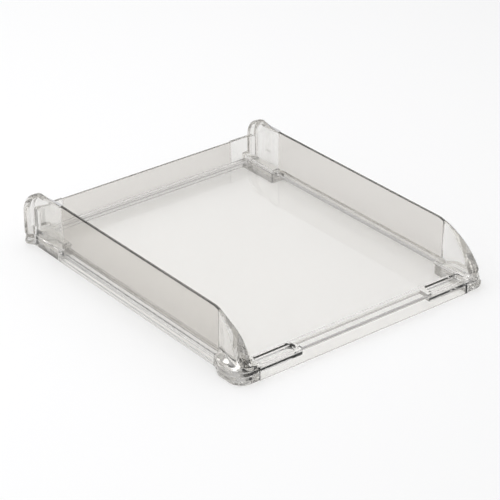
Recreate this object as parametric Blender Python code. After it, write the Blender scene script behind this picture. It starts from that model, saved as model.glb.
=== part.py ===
"""Letter tray: a clear, stackable desk tray for Letter size paper, open at the front.

It is a bonded assembly: a hollow base moulding, two side panels and a low rear panel
that stand on its ledges, two solid front corner posts, two solid rear corner posts
with round-topped ears, and four soft bumper feet in pockets under the posts.

Metres, +Z up. The origin is the middle of the footprint, on the desk. +Y is the
rear, -Y the open front that the paper goes in through, +X the right-hand side.
"""

import math

import bmesh
import bpy
from mathutils import Vector

MM = 0.001

# ---- driving dimensions, millimetres ------------------------------------------
BASE_WIDTH = 279.0  # over the front corner blocks, along X
BASE_DEPTH = 324.0  # over the corner blocks, along Y
BASE_BOTTOM_Z = 0.4  # the feet hold the base this far off the desk
SKIRT_X = 132.4  # outer face of a side skirt
SKIRT_REAR_Y = 159.0  # outer face of the rear skirt
SKIRT_THICK = 2.8
LEDGE_Z = 11.0  # ledge along the sides and rear, on which the panels stand
FLOOR_Z = 13.6  # floor that the paper lies on
FLOOR_THICK = 2.6
RAIL_Z = 15.6  # top of the front rail
RAIL_REAR_Y = -146.0
RAIL_HOLLOW_Z = 7.6  # the hollow under the rail stops this high, under the notches
FRONT_SOFTEN = ((0.4, 0.7), (1.0, 0.2), (1.8, 0.0), (12.0, 0.0), (14.0, 0.35), (15.0, 0.9), (15.6, 1.7))
SIDE_SOFTEN = ((0.4, 0.6), (1.0, 0.2), (1.8, 0.0), (9.8, 0.0), (10.6, 0.25), (11.0, 0.6), (16.0, 0.6))
# (height, how far an outer face stands in there)

NOTCH_X0, NOTCH_X1 = 75.0, 114.0  # stacking notch in the front rail, |X|
NOTCH_Y0, NOTCH_Y1 = -159.4, -147.6
NOTCH_DEPTH = 5.0
LIP_DROP = 1.2  # the rail's front lip is this much lower beside a notch

PANEL_THICK = 3.0
WALL_TOP_Z = 54.0
WALL_OUT_X = 127.0  # outer face of a side panel
REAR_OUT_Y = 155.5  # outer face of the rear panel
REAR_TOP_Z = 35.7
GAP = 0.3  # bond line between neighbouring pieces

POST_SEAM_Y = -119.5  # side panel and skirt end here, against the front post
POST_IN_X = 121.3  # inner face of a front corner post above the rail
BLOCK_IN_X = 117.0  # inner face of a post's foot block
NOSE_Y0, NOSE_A, NOSE_Z0, NOSE_POWER = -112.0, 50.0, 5.0, 1.6  # side view of the front post
NOSE_OUT = (  # front view of its outer side: (height, reach beyond the side panel)
    (0.0, 12.5), (6.0, 12.5), (10.0, 12.1), (15.0, 11.2), (20.0, 9.95), (25.0, 8.6), (30.0, 7.3),
    (35.0, 5.9), (40.0, 4.45), (45.0, 2.95), (50.0, 1.3), (52.0, 0.6), (54.0, 0.0),
)
NOSE_FLARE = 12.5  # the post's foot reaches its full width this far in front of the seam
EAR_SEAM_Y = 111.5  # side panel and skirt end here, against the rear post
EAR_IN_X, EAR_OUT_X = 124.6, 130.9  # faces of the ear; its top is fully round
EAR_CORNER_X = 137.0  # the ear's rear edge is a thicker upright bead, out to here
EAR_FLARE_Y = 149.5  # where that bead starts
BEAD_R = 4.6
EAR_Y0, EAR_A, EAR_Z0, EAR_POWER = 137.0, 25.0, 30.0, 2.5  # side view of the ear
LEG_X = 98.0  # the rear panel ends here, against the rear post's low leg

FOOT_R = 4.6
FOOT_X, FOOT_Y = 125.8, 151.5
FOOT_TOP_Z = 1.7
POCKET_R = 5.2
POCKET_TOP_Z = 2.0

# ---- housekeeping --------------------------------------------------------------
for ob in list(bpy.data.objects):
    bpy.data.objects.remove(ob, do_unlink=True)

parts = bpy.data.collections.new("letter_tray")
cutters = bpy.data.collections.new("cutters")
bpy.context.scene.collection.children.link(parts)
bpy.context.scene.collection.children.link(cutters)

ASSEMBLY = bpy.data.objects.new("tray_assembly", None)
parts.objects.link(ASSEMBLY)


def material(name, colour, roughness, metallic=0.0, transmission=0.0):
    mat = bpy.data.materials.new(name)
    mat.use_nodes = True
    bsdf = mat.node_tree.nodes["Principled BSDF"]
    bsdf.inputs["Base Color"].default_value = (*colour, 1.0)
    bsdf.inputs["Roughness"].default_value = roughness
    bsdf.inputs["Metallic"].default_value = metallic
    bsdf.inputs["Transmission Weight"].default_value = transmission
    return mat


def finish(bm, name, mat, cutter=False, smooth_deg=35.0):
    """Turns a bmesh in millimetres into a named object in metres."""
    bmesh.ops.recalc_face_normals(bm, faces=bm.faces)
    bmesh.ops.scale(bm, vec=(MM, MM, MM), verts=bm.verts)
    mesh = bpy.data.meshes.new(name)
    bm.to_mesh(mesh)
    bm.free()
    ob = bpy.data.objects.new(name, mesh)
    if cutter:
        cutters.objects.link(ob)
        ob.hide_render = True
        ob.display_type = "WIRE"
        return ob
    parts.objects.link(ob)
    ob.parent = ASSEMBLY
    mesh.materials.append(mat)
    mesh.shade_smooth()
    mesh.set_sharp_from_angle(angle=math.radians(smooth_deg))
    return ob


def cut(target, cutter, operation="DIFFERENCE"):
    mod = target.modifiers.new(f"{operation.lower()}_{cutter.name}", "BOOLEAN")
    mod.operation = operation
    mod.object = cutter
    mod.solver = "EXACT"
    return mod


def loft(bm, rings):
    """A closed solid through rings of points of the same count."""
    rows = [[bm.verts.new(p) for p in ring] for ring in rings]
    n = len(rows[0])
    for low, high in zip(rows, rows[1:]):
        for i in range(n):
            j = (i + 1) % n
            bm.faces.new((low[i], low[j], high[j], high[i]))
    bm.faces.new(list(reversed(rows[0])))
    bm.faces.new(rows[-1])
    return bm


def rounded(corners, radii, steps):
    """Plan outline (anticlockwise) through corners, each rounded with its radius."""
    out = []
    n = len(corners)
    for i, (corner, radius) in enumerate(zip(corners, radii)):
        here = Vector(corner)
        to_prev = (Vector(corners[i - 1]) - here).normalized()
        to_next = (Vector(corners[(i + 1) % n]) - here).normalized()
        if radius <= 0:
            out.append(tuple(here))
            continue
        half = to_prev.angle(to_next) / 2
        run = radius / math.tan(half)
        centre = here + (to_prev + to_next).normalized() * (radius / math.sin(half))
        start = here + to_prev * run - centre
        end = here + to_next * run - centre
        turn = start.angle_signed(end)  # clockwise is positive
        for k in range(steps + 1):
            a = -turn * k / steps
            ca, sa = math.cos(a), math.sin(a)
            out.append((centre.x + start.x * ca - start.y * sa, centre.y + start.x * sa + start.y * ca))
    return out


def rect(x0, x1, y0, y1):
    return [(x0, y0), (x1, y0), (x1, y1), (x0, y1)]


def box(name, x0, x1, y0, y1, z0, z1):
    bm = bmesh.new()
    bmesh.ops.create_cube(bm, size=1.0)
    bmesh.ops.scale(bm, vec=(x1 - x0, y1 - y0, z1 - z0), verts=bm.verts)
    bmesh.ops.translate(bm, vec=((x0 + x1) / 2, (y0 + y1) / 2, (z0 + z1) / 2), verts=bm.verts)
    return finish(bm, name, None, cutter=True)


def prism(name, outline, z0, z1, mat=None, cutter=True):
    bm = bmesh.new()
    loft(bm, [[(x, y, z0) for x, y in outline], [(x, y, z1) for x, y in outline]])
    return finish(bm, name, mat, cutter=cutter)


CLEAR = material("clear_styrene", (0.93, 0.93, 0.91), 0.04, 0.0, 0.0)
CLEAR_PANEL = material("clear_styrene_panel", (0.84, 0.83, 0.80), 0.04, 0.0, 0.0)
CLEAR_POST = material("clear_styrene_post", (0.80, 0.80, 0.81), 0.03, 0.0, 0.0)
SILICONE = material("clear_silicone", (0.86, 0.87, 0.87), 0.35)

# ---- base moulding -------------------------------------------------------------
half = GAP / 2


def at(table, z):
    """Straight-line reading of a (height, value) table."""
    for (z0, v0), (z1, v1) in zip(table, table[1:]):
        if z <= z1:
            return v0 + (v1 - v0) * max(0.0, z - z0) / (z1 - z0)
    return table[-1][1]


def base_plan(z):
    """Plan of the base: a rectangle whose four corners are left out for the post feet."""
    x = SKIRT_X - at(SIDE_SOFTEN, z)
    front = -BASE_DEPTH / 2 + at(FRONT_SOFTEN, z)
    rear = SKIRT_REAR_Y - at(SIDE_SOFTEN, z)
    bx = BLOCK_IN_X - half
    f, r = POST_SEAM_Y + half, EAR_SEAM_Y - half
    return [
        (-x, f), (-bx, f), (-bx, front), (bx, front), (bx, f), (x, f),
        (x, r), (bx, r), (bx, rear), (-bx, rear), (-bx, r), (-x, r),
    ]


heights = sorted({z for z, _ in FRONT_SOFTEN} | {z for z, _ in SIDE_SOFTEN if z < RAIL_Z})
bm = bmesh.new()
loft(bm, [[(x, y, z) for x, y in base_plan(z)] for z in heights])
base = finish(bm, "base_moulding", CLEAR)

# the ledges that the panels stand on, and the floor inside the rail
step_x = WALL_OUT_X - PANEL_THICK - GAP
step_y = REAR_OUT_Y - PANEL_THICK - GAP
cut(base, box("cut_ledge_left", -150.0, -step_x, -130.0, 130.0, LEDGE_Z, 30.0))
cut(base, box("cut_ledge_right", step_x, 150.0, -130.0, 130.0, LEDGE_Z, 30.0))
cut(base, box("cut_ledge_rear", -150.0, 150.0, step_y, 180.0, LEDGE_Z, 30.0))
cut(base, box("cut_floor", -140.0, 140.0, RAIL_REAR_Y, 170.0, FLOOR_Z, 30.0))

# hollow underneath, in three depths: floor, ledges and rail; deeper again between the notches
in_x, in_r = SKIRT_X - SKIRT_THICK, SKIRT_REAR_Y - SKIRT_THICK
in_f = -BASE_DEPTH / 2 + SKIRT_THICK
bx = BLOCK_IN_X - half - SKIRT_THICK
f, r = POST_SEAM_Y + half + SKIRT_THICK, EAR_SEAM_Y - half - SKIRT_THICK
inner_x, inner_r = step_x - FLOOR_THICK, step_y - FLOOR_THICK
cross_low = [
    (-in_x, f), (-bx, f), (-bx, in_f), (bx, in_f), (bx, f), (in_x, f),
    (in_x, r), (bx, r), (bx, in_r), (-bx, in_r), (-bx, r), (-in_x, r),
]
cut(base, prism("cut_hollow_low", rounded(cross_low, [2.0] * 12, 2), -5.0, RAIL_HOLLOW_Z))
cross_high = [
    (-inner_x, f), (-bx, f), (-bx, RAIL_REAR_Y + 2.0), (bx, RAIL_REAR_Y + 2.0), (bx, f), (inner_x, f),
    (inner_x, r), (bx, r), (bx, inner_r), (-bx, inner_r), (-bx, r), (-inner_x, r),
]
cut(base, prism("cut_hollow_high", rounded(cross_high, [2.0] * 12, 2), -5.0, FLOOR_Z - FLOOR_THICK))
cut(base, box("cut_hollow_rail", -71.0, 71.0, in_f + 0.3, RAIL_REAR_Y - 2.6, 2.0, RAIL_Z - 2.6))


def notch_cutter(name, side):
    """Stacking notch: a round-ended pocket in the rail's top."""
    plan = rounded(rect(NOTCH_X0, NOTCH_X1, NOTCH_Y0, NOTCH_Y1), [5.0, 2.5, 2.5, 5.0], 5)
    cx, cy = (NOTCH_X0 + NOTCH_X1) / 2, (NOTCH_Y0 + NOTCH_Y1) / 2
    low = [(cx + (x - cx) * 0.975, cy + (y - cy) * 0.90) for x, y in plan]
    bm = bmesh.new()
    rings = [(low, RAIL_Z - NOTCH_DEPTH), (plan, RAIL_Z - 0.6), (plan, RAIL_Z + 4.0)]
    loft(bm, [[(side * x, y, z) for x, y in ring] for ring, z in rings])
    return finish(bm, name, None, cutter=True)


def lip_cutter(name, side):
    """Lowers the rail's front lip beside a notch, with an S-shaped end."""
    a, b, low, high = NOTCH_X0 - 1.5, BLOCK_IN_X + 2.0, RAIL_Z - LIP_DROP, RAIL_Z + 3.0
    view = [(a - 3.0 + 4.0 * k / 6, RAIL_Z + 0.4 - (LIP_DROP + 0.4) * (3 * (k / 6) ** 2 - 2 * (k / 6) ** 3)) for k in range(7)]
    view += [(b, low), (b, high), (a - 3.0, high)]
    bm = bmesh.new()
    loft(bm, [[(side * x, y, z) for x, z in view] for y in (-BASE_DEPTH / 2 - 3.0, NOTCH_Y0 + 2.4)])
    return finish(bm, name, None, cutter=True)


for side, word in ((-1, "left"), (1, "right")):
    cut(base, notch_cutter(f"cut_notch_{word}", side))
    cut(base, lip_cutter(f"cut_lip_{word}", side))


# ---- panels ----------------------------------------------------------------------
def slab(name, out, z1, along0, along1, axis, sign=1, soften=0.9):
    """An upright panel on the ledge, with a softened top edge."""
    z0 = LEDGE_Z + GAP
    steps = [(z0, 0.25), (z0 + 0.4, 0.0), (z1 - soften, 0.0), (z1 - 0.35 * soften, 0.22 * soften), (z1, 0.75 * soften)]
    section = [(out - i, z) for z, i in steps] + [(out - PANEL_THICK + i, z) for z, i in reversed(steps)]
    bm = bmesh.new()
    if axis == "Y":
        loft(bm, [[(sign * a, b, z) for a, z in section] for b in (along0, along1)])
    else:
        loft(bm, [[(b, a, z) for a, z in section] for b in (along0, along1)])
    return finish(bm, name, CLEAR_PANEL)


slab("side_panel_left", WALL_OUT_X, WALL_TOP_Z, POST_SEAM_Y + half, EAR_SEAM_Y - half, "Y", -1)
slab("side_panel_right", WALL_OUT_X, WALL_TOP_Z, POST_SEAM_Y + half, EAR_SEAM_Y - half, "Y", 1)
slab("rear_panel", REAR_OUT_Y, REAR_TOP_Z, -LEG_X + half, LEG_X - half, "X")


# ---- front corner posts ----------------------------------------------------------
def smooth(t):
    t = min(1.0, max(0.0, t))
    return t * t * (3 - 2 * t)


def superellipse(u, power):
    """Height fraction u of a rounded nose to its reach, 1 at u = 0 and 0 at u = 1."""
    u = min(1.0, max(0.0, u))
    return (1 - u ** power) ** (1 / power)


def front_post(name, side):
    """Solid post from foot to wall top: its nose is rounded, and it flares out to the corner."""
    levels = [0.4, 1.1, 2.2, 6.0, 10.7, 11.0, 11.01, 14.6, 15.3, 15.6, 15.61]
    levels += [15.6 + (WALL_TOP_Z - 15.6) * math.sin(math.pi / 2 * k / 13) for k in range(1, 14)]
    rings = []
    for z in levels:
        foot_in = at(((0.4, 1.0), (1.1, 0.35), (2.2, 0.0)), z)
        on_ledge = z <= LEDGE_Z
        x_seam = SKIRT_X - at(SIDE_SOFTEN, z) if on_ledge else WALL_OUT_X + 0.3
        x_in = BLOCK_IN_X + half + at(((14.6, 0.0), (15.3, 0.25), (15.6, 0.8)), z) if z <= RAIL_Z else POST_IN_X
        x_out = WALL_OUT_X + at(NOSE_OUT, z) - foot_in
        x_seam = min(x_seam, x_out)
        u = (z - NOSE_Z0) / (WALL_TOP_Z - NOSE_Z0)
        y_front = NOSE_Y0 - NOSE_A * superellipse(u, NOSE_POWER) + foot_in
        y_front = min(y_front, POST_SEAM_Y - 1.4)
        # the top edge is softened where the nose starts
        top = max(0.0, z - (WALL_TOP_Z - 0.9)) * 0.8
        x_in, x_out, x_seam = x_in + top + (WALL_OUT_X - PANEL_THICK - POST_IN_X) * smooth((z - 46.0) / 8.0), x_out - top, x_seam - top
        deep, wide = POST_SEAM_Y - y_front, x_out - x_in
        r_out = min(12.0 + 6.0 * smooth((z - 6.0) / 12.0), 0.62 * wide, 0.55 * deep)
        r_in = min(2.0, 0.25 * wide, 0.25 * deep)
        y_curve = y_front + r_out
        back = POST_SEAM_Y - half
        outline = [(x_seam, back)]
        flare = max(y_curve, back - NOSE_FLARE - 14.0 * smooth((z - 9.0) / 18.0))
        for k in range(1, 6):  # flared side, from the seam forward
            t = k / 5
            outline.append((x_seam + (x_out - x_seam) * smooth(t), back + (flare - back) * t))
        outline.append((x_out, y_curve))
        for k in range(1, 7):  # outer front corner
            a = math.pi / 2 * k / 6
            outline.append((x_out - r_out + r_out * math.cos(a), y_curve - r_out * math.sin(a)))
        for k in range(0, 5):  # inner front corner
            a = math.pi / 2 * k / 4
            outline.append((x_in + r_in - r_in * math.sin(a), y_front + r_in - r_in * math.cos(a)))
        outline += [(x_in, back - 0.4 * (deep - half)), (x_in, back)]
        rings.append([(side * x, y, z) for x, y in outline])
    bm = bmesh.new()
    loft(bm, rings)
    return finish(bm, name, CLEAR_POST)


front_post("front_post_left", -1)
front_post("front_post_right", 1)


# ---- rear corner posts -------------------------------------------------------------
def rear_post(name, side):
    """Solid post: an ear with a round top, a flared corner and a low leg along the rear."""
    levels = [0.4, 1.1, 2.2, 6.0, 10.7, 11.0, 11.01, 14.6, 15.3, 15.6, 15.61, 22.0]
    levels += [27.0 + (WALL_TOP_Z - 27.0) * math.sin(math.pi / 2 * k / 13) for k in range(14)]
    rings = []
    for z in levels:
        foot_in = at(((0.4, 1.2), (1.1, 0.45), (2.2, 0.0)), z)
        x_seam = SKIRT_X - at(SIDE_SOFTEN, z) if z <= LEDGE_Z else EAR_OUT_X
        x_in = BLOCK_IN_X + half + at(((14.6, 0.0), (15.3, 0.25), (15.6, 0.8)), z) if z <= RAIL_Z else EAR_IN_X
        u = (z - EAR_Z0) / (WALL_TOP_Z - EAR_Z0)
        y_rear = EAR_Y0 + EAR_A * superellipse(u, EAR_POWER) - foot_in
        up = (z - 30.0) / (WALL_TOP_Z - 30.0)
        x_out = x_seam + (EAR_CORNER_X - x_seam) * superellipse(up, 2.0) - foot_in
        r_top = (EAR_OUT_X - EAR_IN_X) / 2
        rise = max(0.0, z - (WALL_TOP_Z - r_top)) / r_top
        soft = (r_top - 0.35) * (1 - math.sqrt(max(0.0, 1 - rise * rise)))
        x_in, x_out, x_seam = x_in + soft, x_out - soft, x_seam - soft
        y_rear = max(y_rear, EAR_Y0 + 2.0)
        wide = x_out - x_in
        r_out = min(BEAD_R, 0.5 * wide)
        r_in = min(2.0, 0.3 * wide)
        front = EAR_SEAM_Y + half
        y0 = EAR_FLARE_Y - (EAR_Y0 + EAR_A - y_rear) * 0.75
        y1 = max(y0 + 0.8, y_rear - r_out)
        outline = [(x_in, front), (x_seam, front)]
        for k in range(0, 7):
            t = k / 6
            outline.append((x_seam + (x_out - x_seam) * smooth(t), y0 + (y1 - y0) * t))
        for k in range(1, 7):
            a = math.pi / 2 * k / 6
            outline.append((x_out - r_out + r_out * math.cos(a), y_rear - r_out + r_out * math.sin(a)))
        for k in range(0, 5):
            a = math.pi / 2 * k / 4
            outline.append((x_in + r_in - r_in * math.sin(a), y_rear - r_in + r_in * math.cos(a)))
        rings.append([(side * x, y, z) for x, y in outline])
    bm = bmesh.new()
    loft(bm, rings)
    post = finish(bm, name, CLEAR_POST)

    # low leg along the rear, with an inner fillet where it meets the ear
    out, inn, fillet, x_in = REAR_OUT_Y + 0.6, REAR_OUT_Y - PANEL_THICK, 7.0, EAR_IN_X
    rings = []
    for z, i in ((LEDGE_Z + GAP, 0.0), (REAR_TOP_Z - 0.7, 0.0), (REAR_TOP_Z + 0.3, 0.8)):
        outline = [(LEG_X + half, inn + i)]
        for k in range(0, 7):
            a = math.pi / 2 * k / 6
            outline.append((x_in - fillet + fillet * math.sin(a), inn + i - fillet * (1 - math.cos(a))))
        outline += [(x_in + 2.1, inn - fillet - 0.7), (x_in + 2.1, out - i), (LEG_X + half, out - i)]
        rings.append([(side * x, y, z) for x, y in outline])
    bm = bmesh.new()
    loft(bm, rings)
    leg = finish(bm, f"join_{name}", None, cutter=True)
    cut(post, leg, "UNION")
    return post


rear_post("rear_post_left", -1)
rear_post("rear_post_right", 1)


# ---- feet --------------------------------------------------------------------------
def disc(bm, x, y, z0, z1, r0, r1, segments=24):
    made = bmesh.ops.create_cone(
        bm, cap_ends=True, segments=segments, radius1=r0, radius2=r1, depth=z1 - z0
    )
    bmesh.ops.translate(bm, vec=(x, y, (z0 + z1) / 2), verts=made["verts"])


for side_x, word_x in ((-1, "left"), (1, "right")):
    for side_y, word_y in ((-1, "front"), (1, "rear")):
        x, y = side_x * FOOT_X, side_y * FOOT_Y
        bm = bmesh.new()
        disc(bm, x, y, 0.0, FOOT_TOP_Z, FOOT_R - 0.6, FOOT_R)
        finish(bm, f"foot_{word_y}_{word_x}", SILICONE)
        bm = bmesh.new()
        disc(bm, x, y, -3.0, POCKET_TOP_Z, POCKET_R, POCKET_R)
        pocket = finish(bm, f"cut_pocket_{word_y}_{word_x}", None, cutter=True)
        cut(parts.objects[f"{word_y}_post_{word_x}"], pocket)
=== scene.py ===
"""Looks for the letter tray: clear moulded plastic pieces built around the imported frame.

Lengths in the tables below are millimetres; every mesh ends up in metres in the frame's own axes.
"""

import bpy
import bmesh
import math
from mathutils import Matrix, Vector


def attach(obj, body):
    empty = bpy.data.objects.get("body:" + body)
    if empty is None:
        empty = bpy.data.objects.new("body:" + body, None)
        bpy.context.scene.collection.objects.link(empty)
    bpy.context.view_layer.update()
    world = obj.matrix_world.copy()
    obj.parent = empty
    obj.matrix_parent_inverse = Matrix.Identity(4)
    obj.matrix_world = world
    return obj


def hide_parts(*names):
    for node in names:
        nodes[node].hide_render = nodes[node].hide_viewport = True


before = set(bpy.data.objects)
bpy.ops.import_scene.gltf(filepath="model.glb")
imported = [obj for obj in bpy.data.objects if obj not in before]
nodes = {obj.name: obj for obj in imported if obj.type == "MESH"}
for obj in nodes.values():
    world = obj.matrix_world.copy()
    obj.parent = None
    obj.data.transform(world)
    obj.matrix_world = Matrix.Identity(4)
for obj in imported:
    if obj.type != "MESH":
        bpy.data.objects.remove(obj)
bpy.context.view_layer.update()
scene = bpy.context.scene
MM = 0.001

# ---- sizes, as in the frame -------------------------------------------------------
GAP = 0.3
HALF = GAP / 2
HALF_DEPTH = 162.0
HALF_WIDTH = 139.5
BOTTOM_Z = 0.4
SKIRT_X, SKIRT_REAR_Y, SKIRT_THICK = 132.4, 159.0, 2.8
LEDGE_Z, FLOOR_Z, FLOOR_THICK, RAIL_Z = 11.0, 13.6, 2.6, 15.6
RAIL_REAR_Y, RAIL_HOLLOW_Z = -146.0, 7.6
PANEL_THICK, TOP_Z, WALL_X, REAR_Y, REAR_TOP_Z = 3.0, 54.0, 127.0, 155.5, 35.7
FRONT_SEAM_Y, REAR_SEAM_Y = -119.5, 111.5
POST_IN_X, BLOCK_IN_X = 121.3, 117.0
EAR_IN_X, EAR_OUT_X, EAR_CORNER_X = 124.6, 130.9, 137.0
LEG_X = 98.0


# ---- helpers ------------------------------------------------------------------------
def smooth(t):
    t = min(1.0, max(0.0, t))
    return t * t * (3 - 2 * t)


def lerp(a, b, t):
    return a + (b - a) * t


def round_over(z, edge, radius):
    """How far a face stands in at height z, where its edge at height edge is rounded."""
    t = (radius - abs(edge - z)) / radius
    if t <= 0:
        return 0.0
    return radius * (1 - math.sqrt(max(0.0, 1 - min(1.0, t) ** 2)))


def curve(table, z):
    """Smooth monotone reading of a (height, value) table."""
    if z <= table[0][0]:
        return table[0][1]
    if z >= table[-1][0]:
        return table[-1][1]
    slopes = []
    n = len(table)
    d = [(table[i + 1][1] - table[i][1]) / (table[i + 1][0] - table[i][0]) for i in range(n - 1)]
    for i in range(n):
        if i == 0 or i == n - 1:
            slopes.append(d[0] if i == 0 else d[-1])
        elif d[i - 1] * d[i] <= 0:
            slopes.append(0.0)
        else:
            slopes.append(2 * d[i - 1] * d[i] / (d[i - 1] + d[i]))
    for i in range(n - 1):
        z0, v0 = table[i]
        z1, v1 = table[i + 1]
        if z <= z1:
            h = z1 - z0
            t = (z - z0) / h
            return (
                v0 * (1 + 2 * t) * (1 - t) ** 2 + slopes[i] * h * t * (1 - t) ** 2
                + v1 * t * t * (3 - 2 * t) + slopes[i + 1] * h * t * t * (t - 1)
            )


def superellipse(u, power):
    u = min(1.0, max(0.0, u))
    return (1 - u ** power) ** (1 / power)


def loft(bm, rings):
    rows = [[bm.verts.new(p) for p in ring] for ring in rings]
    n = len(rows[0])
    for low, high in zip(rows, rows[1:]):
        for i in range(n):
            j = (i + 1) % n
            bm.faces.new((low[i], low[j], high[j], high[i]))
    bm.faces.new(list(reversed(rows[0])))
    bm.faces.new(rows[-1])
    return bm


def piece(bm, name, sharp=32.0, weld=0.002):
    """A closed mesh in millimetres becomes an object in metres."""
    bmesh.ops.remove_doubles(bm, verts=bm.verts, dist=weld)
    bmesh.ops.dissolve_degenerate(bm, edges=bm.edges, dist=weld)
    bmesh.ops.recalc_face_normals(bm, faces=bm.faces)
    bmesh.ops.scale(bm, vec=(MM, MM, MM), verts=bm.verts)
    mesh = bpy.data.meshes.new(name)
    bm.to_mesh(mesh)
    bm.free()
    mesh.shade_smooth()
    mesh.set_sharp_from_angle(angle=math.radians(sharp))
    ob = bpy.data.objects.new(name, mesh)
    scene.collection.objects.link(ob)
    return ob


def apply_booleans(ob, tools, sharp=32.0):
    for tool, operation in tools:
        mod = ob.modifiers.new("b", "BOOLEAN")
        mod.operation = operation
        mod.object = tool
        mod.solver = "EXACT"
    graph = bpy.context.evaluated_depsgraph_get()
    mesh = bpy.data.meshes.new_from_object(ob.evaluated_get(graph))
    ob.modifiers.clear()
    old = ob.data
    ob.data = mesh
    mesh.name = ob.name
    bpy.data.meshes.remove(old)
    mesh.shade_smooth()
    mesh.set_sharp_from_angle(angle=math.radians(sharp))
    for tool, _ in tools:
        bpy.data.objects.remove(tool)
    return ob


def true_flats(ob):
    """Flat faces stay optically flat: their normals outweigh those of the small roundings beside them."""
    mod = ob.modifiers.new("n", "WEIGHTED_NORMAL")
    mod.mode = "FACE_AREA"
    mod.weight = 100
    mod.keep_sharp = True
    graph = bpy.context.evaluated_depsgraph_get()
    mesh = bpy.data.meshes.new_from_object(ob.evaluated_get(graph))
    ob.modifiers.clear()
    old = ob.data
    ob.data = mesh
    mesh.name = ob.name
    bpy.data.meshes.remove(old)
    return ob


def rounded(corners, radii, steps):
    out = []
    n = len(corners)
    for i, (corner, radius) in enumerate(zip(corners, radii)):
        here = Vector(corner)
        a = (Vector(corners[i - 1]) - here).normalized()
        b = (Vector(corners[(i + 1) % n]) - here).normalized()
        h = a.angle(b) / 2
        run = radius / math.tan(h)
        centre = here + (a + b).normalized() * (radius / math.sin(h))
        start = here + a * run - centre
        turn = start.angle_signed(here + b * run - centre)
        for k in range(steps + 1):
            t = -turn * k / steps
            c, s = math.cos(t), math.sin(t)
            out.append((centre.x + start.x * c - start.y * s, centre.y + start.x * s + start.y * c))
    return out


def stack(outline_at, heights, name, sharp=32.0):
    bm = bmesh.new()
    loft(bm, [[(x, y, z) for x, y in outline_at(z)] for z in heights])
    return piece(bm, name, sharp)


def arc_heights(edge, radius, steps, up):
    """Heights that follow a rounded edge: towards edge from below (up) or from edge upwards."""
    r = [radius * (1 - math.cos(math.pi / 2 * k / steps)) for k in range(steps + 1)]
    return [edge - v for v in reversed(r)] if up else [edge + v for v in r]


# ---- base moulding --------------------------------------------------------------------
FRONT_EDGE_R, LEDGE_R, FOOT_R, INNER_R = 1.2, 0.9, 1.0, 1.4
STEPS = (4.1, 7.6)


def stepped(z, heights=STEPS, deep=0.4):
    """The skirt stands back a little above each fine step that runs round it."""
    return sum(deep * smooth((z - h) / 0.5 + 0.5) for h in heights)




def base_outline(z):
    foot = round_over(z, BOTTOM_Z, FOOT_R) * 0.45
    side = foot + stepped(z)
    front = foot + round_over(z, RAIL_Z, FRONT_EDGE_R)
    x, f, r = SKIRT_X - side, FRONT_SEAM_Y + HALF, REAR_SEAM_Y - HALF
    bx = BLOCK_IN_X - HALF
    yf, yr = -HALF_DEPTH + front, SKIRT_REAR_Y - side
    return [
        (-x, f), (-bx, f), (-bx, yf), (bx, yf), (bx, f), (x, f),
        (x, r), (bx, r), (bx, yr), (-bx, yr), (-bx, r), (-x, r),
    ]


levels = sorted(set(
    arc_heights(BOTTOM_Z, FOOT_R, 5, False) + arc_heights(LEDGE_Z, LEDGE_R, 7, True)
    + arc_heights(RAIL_Z, FRONT_EDGE_R, 10, True) + [h + 0.0625 * k for h in STEPS for k in range(-4, 5)]
))
base = stack(base_outline, levels, "base_moulding_clear")
step_x, step_y = WALL_X - PANEL_THICK - GAP, REAR_Y - PANEL_THICK - GAP


def cutter(outline_at, heights):
    return stack(outline_at, heights, "cutter")


def block(x0, x1, y0, y1, z0, z1):
    return cutter(lambda z: [(x0, y0), (x1, y0), (x1, y1), (x0, y1)], [z0, z1])


in_x, in_r, in_f = SKIRT_X - SKIRT_THICK, SKIRT_REAR_Y - SKIRT_THICK, -HALF_DEPTH + SKIRT_THICK
RAIL_THICK = 2.6
BLOCK_WALL = 1.0
bx = BLOCK_IN_X - HALF - BLOCK_WALL
ff, rr = FRONT_SEAM_Y + HALF + BLOCK_WALL, REAR_SEAM_Y - HALF - BLOCK_WALL
inner_x, inner_r = step_x - FLOOR_THICK, step_y - FLOOR_THICK


def cross(x, f, r, y0, y1, shrink):
    x, y0, y1 = x - shrink, y0 + shrink, y1 - shrink
    c, ff_, rr_ = bx - shrink, f + shrink, r - shrink
    pts = [(-x, ff_), (-c, ff_), (-c, y0), (c, y0), (c, ff_), (x, ff_), (x, rr_), (c, rr_), (c, y1), (-c, y1), (-c, rr_), (-x, rr_)]
    return rounded(pts, [2.0] * 12, 4)


def hollow(x, y0, y1, top):
    hs = [-5.0, 0.4] + arc_heights(top, INNER_R, 5, True)
    return cutter(lambda z: cross(x, ff, rr, y0, y1, round_over(z, top, INNER_R)), hs)


def ramp_rail(z):
    """Cut for the floor behind the rail, with a soft step up to the rail."""
    soft = -1.1 * (1 - math.sqrt(max(0.0, 1 - min(1.0, max(0.0, (z - RAIL_Z + 1.1) / 1.1)) ** 2)))
    fillet = round_over(z, FLOOR_Z, 0.8)
    y = RAIL_REAR_Y + soft + fillet
    return [(-140.0, y), (140.0, y), (140.0, 170.0), (-140.0, 170.0)]


NOTCH = (75.0, 114.2, -159.2, -147.6)


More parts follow.
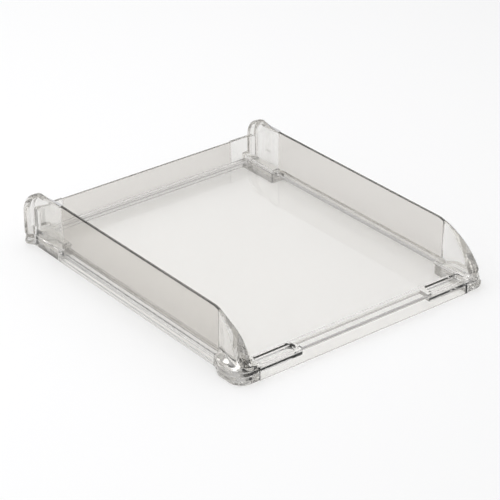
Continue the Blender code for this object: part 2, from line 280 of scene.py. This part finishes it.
def notch_tool(side):
    """Round-ended pocket with a filleted floor and a softened rim."""
    x0, x1, y0, y1 = NOTCH
    bottom = RAIL_Z - 5.0
    hs = arc_heights(bottom, 1.6, 6, False) + arc_heights(RAIL_Z, 1.0, 6, True) + [RAIL_Z + 4.0]

    def outline(z):
        grow = -round_over(z, bottom, 1.6) + (1.0 - math.sqrt(max(0.0, 1 - min(1.0, max(0.0, (z - RAIL_Z + 1.0))) ** 2)))
        pts = rounded(
            [(x0 - grow, y0 - grow), (x1 + grow, y0 - grow), (x1 + grow, y1 + grow), (x0 - grow, y1 + grow)],
            [5.2 + grow, 2.6 + grow, 2.6 + grow, 5.2 + grow], 8,
        )
        return [(side * x, y) for x, y in pts]

    return cutter(outline, sorted(set(hs)))


def lip_tool(side):
    a, drop = NOTCH[0] - 5.5, 1.3
    n = 12
    top = [(a + 6.5 * k / n, RAIL_Z + 0.5 - (drop + 0.5) * smooth(k / n)) for k in range(n + 1)]
    view = top + [(BLOCK_IN_X + 2.0, RAIL_Z - drop), (BLOCK_IN_X + 2.0, RAIL_Z + 4.0), (a, RAIL_Z + 4.0)]
    bm = bmesh.new()
    loft(bm, [[(side * x, y, z) for x, z in view] for y in (-HALF_DEPTH - 3.0, NOTCH[2] + 1.6)])
    return piece(bm, "cutter")


BEAD_R, BEAD_TOP = 0.95, 0.8


def ledge_side(side):
    """Cut above a side ledge: leaves a fine rounded bead along the ledge's outer edge."""
    edge = SKIRT_X - stepped(LEDGE_Z)
    pts = [(step_x - 0.8, 30.0), (step_x - 0.8, FLOOR_Z + 0.02)]
    pts += [(step_x - 0.8 + 0.8 * math.sin(math.pi / 2 * k / 8), FLOOR_Z - 0.8 + 0.8 * math.cos(math.pi / 2 * k / 8)) for k in range(9)]
    pts += [(step_x, LEDGE_Z + 0.5), (step_x + 0.15, LEDGE_Z + 0.15), (step_x + 0.5, LEDGE_Z)]
    cx, cz = edge - BEAD_R, LEDGE_Z + BEAD_TOP - BEAD_R
    pts += [(cx - BEAD_R - 0.7, LEDGE_Z), (cx - BEAD_R - 0.25, LEDGE_Z + 0.06)]
    for k in range(17):
        a = math.pi * (1 - k / 16) * 0.98 + 0.02
        pts.append((cx + BEAD_R * math.cos(a), max(LEDGE_Z - 0.9 if k > 8 else LEDGE_Z + 0.1, cz + BEAD_R * math.sin(a))))
    pts += [(edge + 0.02, cz - 0.3), (edge + 8.0, cz - 0.3), (edge + 8.0, 30.0)]
    bm = bmesh.new()
    loft(bm, [[(side * x, y, z) for x, z in pts] for y in (-130.0, 130.0)])
    return piece(bm, "cutter")


tools = [
    (ledge_side(-1), "DIFFERENCE"),
    (ledge_side(1), "DIFFERENCE"),
    (block(-150, 150, step_y, 180, LEDGE_Z, 30), "DIFFERENCE"),
    (cutter(ramp_rail, sorted(set(arc_heights(FLOOR_Z, 0.8, 4, False) + arc_heights(RAIL_Z, 1.1, 5, True) + [30.0]))), "DIFFERENCE"),
    (hollow(in_x, in_f, in_r, RAIL_HOLLOW_Z), "DIFFERENCE"),
    (hollow(inner_x, RAIL_REAR_Y + 2.0, inner_r, FLOOR_Z - FLOOR_THICK), "DIFFERENCE"),
    (block(-71.0, 71.0, in_f + 0.3, RAIL_REAR_Y - RAIL_THICK, 2.0, RAIL_Z - 4.2), "DIFFERENCE"),
]
for side in (-1, 1):
    tools.append((notch_tool(side), "DIFFERENCE"))
    tools.append((lip_tool(side), "DIFFERENCE"))
apply_booleans(base, tools)


# ---- panels -------------------------------------------------------------------------------
def panel_section(out, top, thick=PANEL_THICK):
    """Section of a panel: softened foot, straight faces, full-round top."""
    z0, r = LEDGE_Z + GAP, thick / 2
    pts = [(out - 0.5, z0), (out - 0.15, z0 + 0.15), (out, z0 + 0.5)]
    pts += [(out, lerp(z0 + 0.5, top - r, k / 6)) for k in range(1, 6)]
    for k in range(17):
        a = math.pi * k / 16
        pts.append((out - r + r * math.cos(a), top - r + r * math.sin(a)))
    pts += [(out - thick, lerp(top - r, z0 + 0.5, k / 6)) for k in range(1, 6)]
    pts += [(out - thick, z0 + 0.5), (out - thick + 0.15, z0 + 0.15), (out - thick + 0.5, z0)]
    return pts


def side_panel(name, side):
    """The wall's top starts to fall a little before the seam, so that it runs on into the nose."""
    bm = bmesh.new()
    sec = panel_section(WALL_X, TOP_Z)
    y0, y1 = FRONT_SEAM_Y + HALF, REAR_SEAM_Y - HALF
    ys = [lerp(y0, -111.0, k / 12) for k in range(13)] + [lerp(-111.0, y1, k / 22) for k in range(1, 23)]
    mid = 30.0
    rings = []
    for y in ys:
        drop = (nose_top(y) - mid) / (TOP_Z - mid)
        rings.append([(side * x, y, z if z < mid else mid + (z - mid) * drop) for x, z in sec])
    loft(bm, rings)
    return piece(bm, name)


def rear_panel(name):
    bm = bmesh.new()
    sec = panel_section(REAR_Y, REAR_TOP_Z)
    x0, x1 = -LEG_X + HALF, LEG_X - HALF
    loft(bm, [[(lerp(x0, x1, k / 20), y, z) for y, z in sec] for k in range(21)])
    return piece(bm, name)


# ---- front posts ----------------------------------------------------------------------------
NOSE_X = ((10.0, 136.0), (16.0, 135.0), (20.0, 134.5), (24.0, 134.1), (28.0, 133.7), (32.0, 133.2), (36.0, 132.6),
          (40.0, 131.9), (44.0, 130.9), (47.0, 129.8), (50.0, 128.5), (52.5, 127.5), (54.0, 127.0))


def nose_front(z):
    u = (z - 5.0) / (TOP_Z - 5.0)
    return -112.0 - 50.0 * superellipse(u, 1.6)


def nose_top(y):
    """Height of the rim at depth y: the nose's side view read the other way."""
    if y >= -112.0:
        return TOP_Z
    return 5.0 + (TOP_Z - 5.0) * superellipse((-112.0 - y) / 50.0, 1.6)


def rounding(depth, radius):
    """How far a face stands in, where it is depth below a rim of the given radius."""
    t = min(1.0, max(0.0, (radius - depth) / radius))
    return radius * (1 - math.sqrt(1 - t * t))


def rim_depth(y, z, yf):
    """Distance from a point of the nose's side view to its rim."""
    dy, dz = max(0.0, y - yf), max(0.0, nose_top(y) - z)
    return dy * dz / math.hypot(dy, dz) if dy + dz > 1e-6 else 0.0


N_SIDE, N_FRONT, N_IN = 34, 8, 22
BACK = FRONT_SEAM_Y - HALF


def nose_ring(z):
    """Plan outline of the nose at one height."""
    yf = min(nose_front(z), BACK - 0.02)
    xo_front = curve(NOSE_X, z)
    width = xo_front - POST_IN_X
    r_in = min(3.2, 1.5 + 0.2 * (52.5 - z))
    r_out = min(4.4, 1.5 + 0.36 * (52.5 - z))
    pts = []
    for k in range(N_SIDE + 1):
        t = 1 - (1 - k / N_SIDE) ** 2.0
        y = lerp(BACK, yf, t)
        flare = math.sin(math.pi / 2 * t) ** 1.2
        x = lerp(WALL_X, xo_front, flare)
        x -= rounding(rim_depth(y, z, yf), r_out) if k < N_SIDE else r_out
        pts.append((x, y))
    xa = pts[-1][0]

    def inner(y):
        into = smooth((BACK - y) / 16.0) * (1 - smooth((z - 34.0) / 20.0))
        return lerp(WALL_X - PANEL_THICK, POST_IN_X, into)

    xb = max(inner(yf) + r_in, 0)
    if xb > xa:
        xb = xa
    for k in range(1, N_FRONT):
        pts.append((lerp(xa, xb, k / N_FRONT), yf))
    for k in range(N_IN + 1):
        y = lerp(yf, BACK, (k / N_IN) ** 2.0)
        x = inner(y) + (rounding(rim_depth(y, z, yf), r_in) if k else r_in)
        if k == 0:
            x = xb
        pts.append((min(x, 127.0 - 0.001), y))
    return pts


def block_ring(z):
    """Plan outline of the block under the nose."""
    foot = round_over(z, BOTTOM_Z, 2.2) * 0.75
    x_seam = SKIRT_X - round_over(z, BOTTOM_Z, FOOT_R) * 0.45 - stepped(z)
    back = stepped(z, (4.1, 7.6, 11.4), 0.8)
    x_out, yf = HALF_WIDTH - foot - back, -HALF_DEPTH + foot + back
    r = 12.5
    pts = []
    n_flank = 20
    yc = yf + r
    for k in range(n_flank):
        t = k / n_flank
        y = lerp(BACK, yc, t)
        pts.append((lerp(x_seam, x_out, smooth(min(1.0, (BACK - y) / 17.0)) ** 0.8), y))
    n_corner = N_SIDE - n_flank
    for k in range(n_corner + 1):
        a = math.pi / 2 * k / n_corner
        pts.append((x_out - r + r * math.cos(a), yc - r * math.sin(a)))
    xa, xb = x_out - r, BLOCK_IN_X + HALF + 1.4
    for k in range(1, N_FRONT):
        pts.append((lerp(xa, xb, k / N_FRONT), yf))
    n_c = 8
    for k in range(n_c + 1):
        a = math.pi / 2 * k / n_c
        pts.append((xb - 1.4 * math.sin(a), yf + 1.4 - 1.4 * math.cos(a)))
    for k in range(1, N_IN - n_c + 1):
        pts.append((BLOCK_IN_X + HALF, lerp(yf + 1.4, BACK, k / (N_IN - n_c))))
    return pts


def front_post(name, side):
    z_seam = nose_top(BACK)
    hs = arc_heights(BOTTOM_Z, 2.2, 8, False)
    hs += [2.6 + 0.2 * k for k in range(1, 76)] + [17.6 + 0.5 * k for k in range(1, 8)]
    z = hs[-1]
    hs += [lerp(z, z_seam, math.sin(math.pi / 2 * k / 44)) for k in range(1, 44)] + [z_seam - 0.004]
    hs = sorted(set(round(h, 4) for h in hs))
    rings = []
    for z in hs:
        low, high = block_ring(z), nose_ring(max(z, 9.0))
        ring = []
        for i, ((xl, yl), (xh, yh)) in enumerate(zip(low, high)):
            if i <= N_SIDE + N_FRONT:
                s = smooth((BACK - yl) / 13.0)
                h, d = lerp(LEDGE_Z + 0.1, 15.6, s), lerp(0.12, 3.2, s)
                w = smooth((z - h + d) / (2 * d))
            else:
                w = smooth((z - RAIL_Z + 1.2) / 1.4)
            ring.append((side * lerp(xl, xh, w), lerp(yl, yh, w), z))
        rings.append(ring)
    bm = bmesh.new()
    loft(bm, rings)
    return piece(bm, name, 40.0)


# ---- rear posts --------------------------------------------------------------------------------
def rear_post(name, side):
    top_r = (EAR_OUT_X - EAR_IN_X) / 2
    hs = arc_heights(BOTTOM_Z, 2.0, 6, False) + [5.0, 8.0] + arc_heights(LEDGE_Z, 1.2, 6, True)
    hs += [11.02, 12.5, 14.0] + arc_heights(RAIL_Z, 0.8, 4, True) + [15.62, 18.0, 22.0, 26.0, 30.0]
    hs += arc_heights(36.0, 1.0, 5, True) + [36.02]
    z0 = 36.02
    hs += [lerp(z0, TOP_Z, math.sin(math.pi / 2 * k / 26)) for k in range(1, 27)]
    hs = sorted(set(round(h, 4) for h in hs))
    rings = []
    front = REAR_SEAM_Y + HALF
    for z in hs:
        foot = round_over(z, BOTTOM_Z, 2.0) * 0.7
        ledge = z <= LEDGE_Z
        x_seam = SKIRT_X - round_over(z, LEDGE_Z, 0.9) - foot * 0.4 - stepped(z) if ledge else EAR_OUT_X
        x_in = BLOCK_IN_X + HALF + round_over(z, RAIL_Z, 0.8) if z <= RAIL_Z else EAR_IN_X
        u = (z - 30.0) / (TOP_Z - 30.0)
        y_rear = 137.0 + 25.0 * superellipse(u, 2.5) - foot
        xc = x_seam + (EAR_CORNER_X - stepped(z, (4.1, 7.6), 0.5) * ledge - x_seam) * superellipse(u, 2.0) - foot
        rise = max(0.0, z - (TOP_Z - top_r)) / top_r
        soft = (top_r - 0.25) * (1 - math.sqrt(max(0.0, 1 - rise * rise)))
        x_in, xc, x_seam = x_in + soft, xc - soft, x_seam - soft
        y_rear = max(y_rear, 139.0)
        wide = xc - x_in
        r_out, r_in = min(4.6, 0.5 * wide), min(2.2, 0.3 * wide)
        y0 = 149.5 - (162.0 - y_rear) * 0.75
        y1 = max(y0 + 0.8, y_rear - r_out)
        lean = 0.0 if ledge else x_seam + soft - WALL_X
        ring = []
        for k in range(10):
            y = lerp(front, y0, k / 10)
            ring.append((x_seam - lean * (1 - smooth((y - front) / 36.0)), y))
        ring += [(lerp(x_seam, xc, smooth(k / 12)), lerp(y0, y1, k / 12)) for k in range(12)]
        for k in range(13):
            a = math.pi / 2 * k / 12
            ring.append((xc - r_out + r_out * math.cos(a), y1 + (y_rear - y1) * math.sin(a)))
        xr = x_in if z > LEDGE_Z + 0.01 else BLOCK_IN_X + HALF
        ring += [(lerp(xc - r_out, x_in + r_in, k / 4), y_rear) for k in range(1, 4)]
        for k in range(9):
            a = math.pi / 2 * k / 8
            ring.append((x_in + r_in - r_in * math.sin(a), y_rear - r_in + r_in * math.cos(a)))
        # the low leg along the rear: its points lie on the inner face where there is no leg
        has_leg = LEDGE_Z + GAP <= z <= 36.0
        i = round_over(z, 36.0, 1.0)
        fil = 7.0
        if has_leg and z > RAIL_Z:
            ring += [(x_in, 156.1 - i), (LEG_X + HALF, 156.1 - i), (LEG_X + HALF, 154.3), (LEG_X + HALF, 152.5 + i)]
            for k in range(13):
                a = math.pi / 2 * k / 12
                ring.append((x_in - fil + fil * math.sin(a), 152.5 + i - fil * (1 - math.cos(a))))
        elif has_leg:
            ring += [(x_in, 156.1 - i), (LEG_X + HALF, 156.1 - i), (LEG_X + HALF, 154.3), (LEG_X + HALF, 152.5 + i)]
            ring += [(lerp(LEG_X + 6.0, x_in, k / 12), 152.5 + i) if k < 12 else (x_in, 152.4 + i) for k in range(13)]
        else:
            top = min(156.1, y_rear - r_in - 0.1)
            low = min(145.0, top - 1.0)
            ring += [(x_in, lerp(top, low, k / 16)) for k in range(17)]
        last = ring[-1][1]
        ring += [(x_in, lerp(last, front, k / 6)) for k in range(1, 7)]
        rings.append([(side * x, y, z) for x, y in ring])
    bm = bmesh.new()
    loft(bm, rings)
    return piece(bm, name, 40.0)


# ---- feet -----------------------------------------------------------------------------------------
def bumper(name, x, y):
    """Low domed bumper with a flat, softened sole."""
    bm = bmesh.new()
    profile = [(0.0, 3.2), (0.12, 3.9), (0.45, 4.35), (0.9, 4.55), (1.35, 4.6), (1.7, 4.5)]
    n = 48
    rings = []
    for z, r in profile:
        rings.append([(x + r * math.cos(2 * math.pi * k / n), y + r * math.sin(2 * math.pi * k / n), z) for k in range(n)])
    loft(bm, rings)
    return piece(bm, name)


def foot_pocket(x, y):
    """Room above and around a bumper foot."""
    n = 64
    circle = [(x + 5.2 * math.cos(2 * math.pi * k / n), y + 5.2 * math.sin(2 * math.pi * k / n)) for k in range(n)]
    return cutter(lambda z: circle, [-3.0, 2.0])


made = {
    "base_moulding": base,
    "side_panel_left": side_panel("side_panel_left_clear", -1),
    "side_panel_right": side_panel("side_panel_right_clear", 1),
    "rear_panel": rear_panel("rear_panel_clear"),
    "front_post_left": front_post("front_post_left_clear", -1),
    "front_post_right": front_post("front_post_right_clear", 1),
    "rear_post_left": rear_post("rear_post_left_clear", -1),
    "rear_post_right": rear_post("rear_post_right_clear", 1),
}
for sy, wy in ((-1, "front"), (1, "rear")):
    for sx, wx in ((-1, "left"), (1, "right")):
        made[f"foot_{wy}_{wx}"] = bumper(f"foot_{wy}_{wx}_clear", sx * 125.8, sy * 151.5)
        apply_booleans(made[f"{wy}_post_{wx}"], [(foot_pocket(sx * 125.8, sy * 151.5), "DIFFERENCE")], 40.0)


# ---- materials ---------------------------------------------------------------------------------------
def clear_plastic(name, tint, ior, rough, wave, wave_scale, shadow, dense):
    """Polished clear plastic. Lamps' light reaches what is behind it, dimmed to shadow."""
    mat = bpy.data.materials.new(name)
    mat.use_nodes = True
    nt = mat.node_tree
    n, link = nt.nodes, nt.links.new
    bsdf, out = n["Principled BSDF"], n["Material Output"]
    bsdf.inputs["Base Color"].default_value = (*tint, 1)
    bsdf.inputs["Transmission Weight"].default_value = 1.0
    bsdf.inputs["IOR"].default_value = ior
    coords = n.new("ShaderNodeTexCoord")
    # faint flow of the moulding, and finer handling marks in the polish
    flow = n.new("ShaderNodeTexNoise")
    flow.inputs["Scale"].default_value = wave_scale
    flow.inputs["Detail"].default_value = 1.5
    link(coords.outputs["Object"], flow.inputs["Vector"])
    bump = n.new("ShaderNodeBump")
    bump.inputs["Strength"].default_value = wave
    bump.inputs["Distance"].default_value = 0.002
    link(flow.outputs["Fac"], bump.inputs["Height"])
    link(bump.outputs["Normal"], bsdf.inputs["Normal"])
    marks = n.new("ShaderNodeTexNoise")
    marks.inputs["Scale"].default_value = 90.0
    marks.inputs["Detail"].default_value = 5.0
    marks.inputs["Distortion"].default_value = 1.2
    link(coords.outputs["Object"], marks.inputs["Vector"])
    ramp = n.new("ShaderNodeMapRange")
    ramp.inputs["From Min"].default_value = 0.35
    ramp.inputs["From Max"].default_value = 0.75
    ramp.inputs["To Min"].default_value = rough
    ramp.inputs["To Max"].default_value = rough + 0.05
    link(marks.outputs["Fac"], ramp.inputs["Value"])
    link(ramp.outputs["Result"], bsdf.inputs["Roughness"])
    clear = n.new("ShaderNodeBsdfTransparent")
    clear.inputs["Color"].default_value = (*shadow, 1)
    path = n.new("ShaderNodeLightPath")
    mix = n.new("ShaderNodeMixShader")
    link(path.outputs["Is Shadow Ray"], mix.inputs["Fac"])
    link(bsdf.outputs["BSDF"], mix.inputs[1])
    link(clear.outputs["BSDF"], mix.inputs[2])
    link(mix.outputs["Shader"], out.inputs["Surface"])
    # light led a long way inside the plastic comes out darker and warmer
    inside = n.new("ShaderNodeVolumeAbsorption")
    inside.inputs["Color"].default_value = (0.50, 0.475, 0.43, 1)
    inside.inputs["Density"].default_value = dense
    link(inside.outputs["Volume"], out.inputs["Volume"])
    return mat


base_mat = clear_plastic("clear_base", (0.885, 0.878, 0.865), 1.49, 0.012, 0.02, 14.0, (0.91, 0.907, 0.90), 5.0)
panel_mat = clear_plastic("clear_panel", (0.75, 0.73, 0.70), 1.49, 0.025, 0.03, 10.0, (0.76, 0.757, 0.745), 8.0)
post_mat = clear_plastic("clear_post", (0.875, 0.867, 0.848), 1.49, 0.015, 0.04, 22.0, (0.88, 0.88, 0.875), 8.0)
foot_mat = clear_plastic("clear_foot", (0.85, 0.86, 0.86), 1.41, 0.32, 0.2, 160.0, (0.9, 0.9, 0.9), 8.0)
for node in ("base_moulding", "side_panel_left", "side_panel_right", "rear_panel"):
    true_flats(made[node])
for node, ob in made.items():
    kind = "base" if node == "base_moulding" else "panel" if "panel" in node else "post" if "post" in node else "foot"
    ob.data.materials.clear()
    ob.data.materials.append({"base": base_mat, "panel": panel_mat, "post": post_mat, "foot": foot_mat}[kind])
    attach(ob, "root")
    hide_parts(node)

# ---- floor, light, camera ---------------------------------------------------------------------------------
bm = bmesh.new()
bmesh.ops.create_grid(bm, x_segments=1, y_segments=1, size=4.0)
mesh = bpy.data.meshes.new("studio_floor")
bm.to_mesh(mesh)
bm.free()
floor = bpy.data.objects.new("studio_floor", mesh)
scene.collection.objects.link(floor)
fm = bpy.data.materials.new("studio_white")
fm.use_nodes = True
fb = fm.node_tree.nodes["Principled BSDF"]
fb.inputs["Base Color"].default_value = (0.93, 0.93, 0.93, 1)
fb.inputs["Roughness"].default_value = 0.45
mesh.materials.append(fm)

world = bpy.data.worlds.new("studio")
scene.world = world
world.use_nodes = True
wt = world.node_tree
bg = wt.nodes["Background"]
wc = wt.nodes.new("ShaderNodeTexCoord")
split = wt.nodes.new("ShaderNodeSeparateXYZ")
wt.links.new(wc.outputs["Generated"], split.inputs["Vector"])
sky = wt.nodes.new("ShaderNodeValToRGB")
sky.color_ramp.interpolation = "EASE"
stops = sky.color_ramp.elements
stops[0].position, stops[0].color = 0.0, (0.10, 0.10, 0.11, 1)
stops[1].position, stops[1].color = 1.0, (1.0, 1.0, 1.0, 1)
for at, tone in ((0.13, 0.10), (0.24, 0.58), (0.40, 0.84), (0.66, 0.98)):
    el = stops.new(at)
    el.color = (tone, tone, tone * 1.01, 1)
wt.links.new(split.outputs["Z"], sky.inputs["Fac"])
seen = wt.nodes.new("ShaderNodeLightPath")
plain = wt.nodes.new("ShaderNodeMix")
plain.data_type = "RGBA"
plain.inputs["B"].default_value = (1.35, 1.35, 1.35, 1)
wt.links.new(seen.outputs["Is Camera Ray"], plain.inputs["Factor"])
wt.links.new(sky.outputs["Color"], plain.inputs["A"])
wt.links.new(plain.outputs["Result"], bg.inputs["Color"])
bg.inputs["Strength"].default_value = 0.74


def softbox(name, loc, target, size, size_y, power):
    data = bpy.data.lights.new(name, "AREA")
    data.shape = "RECTANGLE"
    data.size, data.size_y = size, size_y
    data.energy = power
    ob = bpy.data.objects.new(name, data)
    scene.collection.objects.link(ob)
    ob.location = loc
    ob.rotation_euler = (Vector(target) - Vector(loc)).to_track_quat("-Z", "Y").to_euler()
    return ob


softbox("overhead_softbox", (-0.2, 0.5, 1.8), (0, 0, 0), 2.2, 2.2, 22)

cam = bpy.data.cameras.new("camera")
cam.sensor_width = 36.0
cam.lens = 36.0 * 2035.93 / 500.0
cam_ob = bpy.data.objects.new("camera", cam)
scene.collection.objects.link(cam_ob)
cam_ob.location = (-0.99992742, -1.26252819, 0.88458282)
cam_ob.rotation_euler = (math.radians(90 - 28.39), 0, math.radians(-38.40))
scene.camera = cam_ob
scene.view_settings.view_transform = "Standard"
scene.cycles.max_bounces = 32
scene.cycles.glossy_bounces = 16
scene.cycles.transmission_bounces = 32
scene.cycles.transparent_max_bounces = 32
